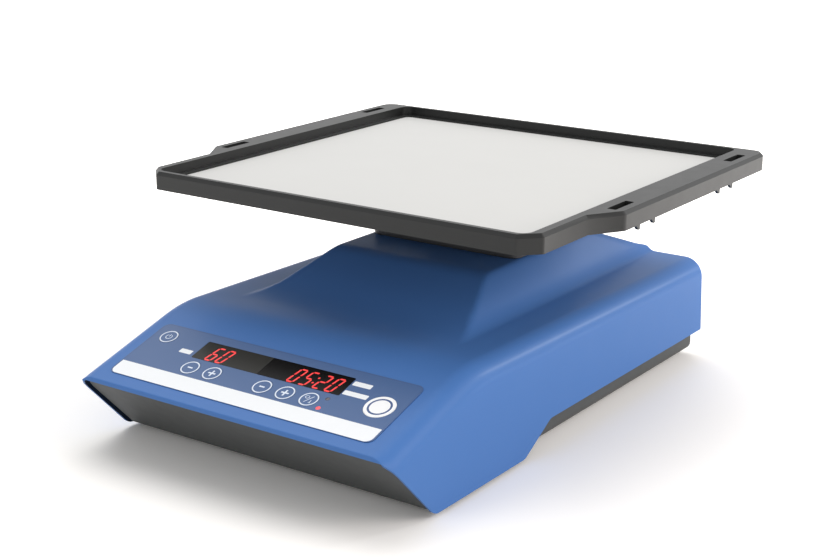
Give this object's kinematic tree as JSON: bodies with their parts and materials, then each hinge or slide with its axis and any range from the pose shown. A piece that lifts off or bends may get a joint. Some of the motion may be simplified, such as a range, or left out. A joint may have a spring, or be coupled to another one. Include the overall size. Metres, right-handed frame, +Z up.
{
  "type": "rocking platform shaker",
  "caption": "Rocking platform shaker: square rimmed tray on a crank-driven tilting cradle over a sloped bench housing with display and keys.",
  "frame": {"origin": "on the bench under the middle of the part's bounding box", "axes": "+Y from the control panel to the rear wall, +X to the right seen from the panel, +Z up"},
  "size_m": [0.329, 0.39, 0.1585],
  "materials": {
    "cover_paint": "satin enamel",
    "pan_plastic": "fine moulded grain",
    "rubber": "matte",
    "foil": "satin printed film",
    "window": "tinted acrylic",
    "led_housing": "moulded",
    "led_lens": "tinted lens",
    "circuit_board": "solder mask",
    "component": "moulded",
    "ribbon": "flexible sleeve",
    "key_film": "satin printed film",
    "start_film": "satin printed film",
    "black_plastic": "moulded",
    "zinc_sheet": "zinc plated",
    "gearbox_metal": "die cast",
    "motor_metal": "plated can",
    "screw_steel": "zinc plated",
    "saddle_black": "black powder coat",
    "cradle_grey": "die cast",
    "bronze": "sintered",
    "shaft_steel": "ground",
    "rod_aluminium": "die cast",
    "tray_plastic": "fine moulded grain",
    "mat_white": "matte silicone"
  },
  "bodies": {
    "base": {"top_cover": "cover_paint", "cover_standoffs": "screw_steel", "cover_screws": "screw_steel", "base_pan": "pan_plastic", "rubber_feet": "rubber", "control_foil": "foil", "display_window": "window", "speed_display": "led_housing", "timer_display": "led_housing", "status_leds": "led_lens", "key_board": "circuit_board", "key_board_screws": "screw_steel", "ribbon_cable": "ribbon", "main_board": "circuit_board", "board_parts": "component", "board_screws": "screw_steel", "power_socket": "black_plastic", "drive_frame": "zinc_sheet", "frame_screws": "screw_steel", "gearbox": "gearbox_metal", "drive_motor": "motor_metal", "gearbox_screws": "screw_steel", "bearing_saddle": "saddle_black", "saddle_screws": "screw_steel", "shaft_bushes": "bronze"},
    "platform": {"cradle_shaft": "shaft_steel", "shaft_clips": "screw_steel", "tray_cradle": "cradle_grey", "lever_pin": "shaft_steel", "platform_tray": "tray_plastic", "tray_screws": "screw_steel", "platform_mat": "mat_white"},
    "rod": {"connecting_rod": "rod_aluminium", "rod_bearing": "shaft_steel"},
    "crank": {"crank_disc": "shaft_steel", "crank_shaft": "shaft_steel", "crank_screw": "screw_steel"},
    "power_key": {"power_key": "key_film"},
    "speed_down_key": {"speed_down_key": "key_film"},
    "speed_up_key": {"speed_up_key": "key_film"},
    "time_down_key": {"time_down_key": "key_film"},
    "time_up_key": {"time_up_key": "key_film"},
    "mode_key": {"mode_key": "key_film"},
    "start_key": {"start_key": "start_film"}
  },
  "joints": [
    {"name": "platform_tilt", "type": "hinge", "parent": "base", "child": "platform", "pos_m": [0, 0.078, 0.124], "axis": [0, 1, 0], "range_deg": [-7, 7]},
    {"name": "rod_swing", "type": "hinge", "parent": "platform", "child": "rod", "pos_m": [0.045, 0.078, 0.124], "axis": [0, 1, 0], "range_deg": [-7, 7]},
    {"name": "crank_spin", "type": "hinge", "parent": "base", "child": "crank", "pos_m": [0.03952, 0.078, 0.052], "axis": [0, 1, 0], "continuous": true},
    {"name": "power_key_press", "type": "slide", "parent": "base", "child": "power_key", "axis": [0, 0.2924, -0.9563], "range_m": [0, 0.0005], "stiffness_N_per_m": 1200, "springref_m": -0.0005},
    {"name": "speed_down_key_press", "type": "slide", "parent": "base", "child": "speed_down_key", "axis": [0, 0.2924, -0.9563], "range_m": [0, 0.0005], "stiffness_N_per_m": 1200, "springref_m": -0.0005},
    {"name": "speed_up_key_press", "type": "slide", "parent": "base", "child": "speed_up_key", "axis": [0, 0.2924, -0.9563], "range_m": [0, 0.0005], "stiffness_N_per_m": 1200, "springref_m": -0.0005},
    {"name": "time_down_key_press", "type": "slide", "parent": "base", "child": "time_down_key", "axis": [0, 0.2924, -0.9563], "range_m": [0, 0.0005], "stiffness_N_per_m": 1200, "springref_m": -0.0005},
    {"name": "time_up_key_press", "type": "slide", "parent": "base", "child": "time_up_key", "axis": [0, 0.2924, -0.9563], "range_m": [0, 0.0005], "stiffness_N_per_m": 1200, "springref_m": -0.0005},
    {"name": "mode_key_press", "type": "slide", "parent": "base", "child": "mode_key", "axis": [0, 0.2924, -0.9563], "range_m": [0, 0.0005], "stiffness_N_per_m": 1200, "springref_m": -0.0005},
    {"name": "start_key_press", "type": "slide", "parent": "base", "child": "start_key", "axis": [0, 0.2924, -0.9563], "range_m": [0, 0.0005], "stiffness_N_per_m": 1200, "springref_m": -0.0005}
  ],
  "couplings": [
    {"joint": "rod_swing", "follows": "platform_tilt", "ratio": -1}
  ]
}
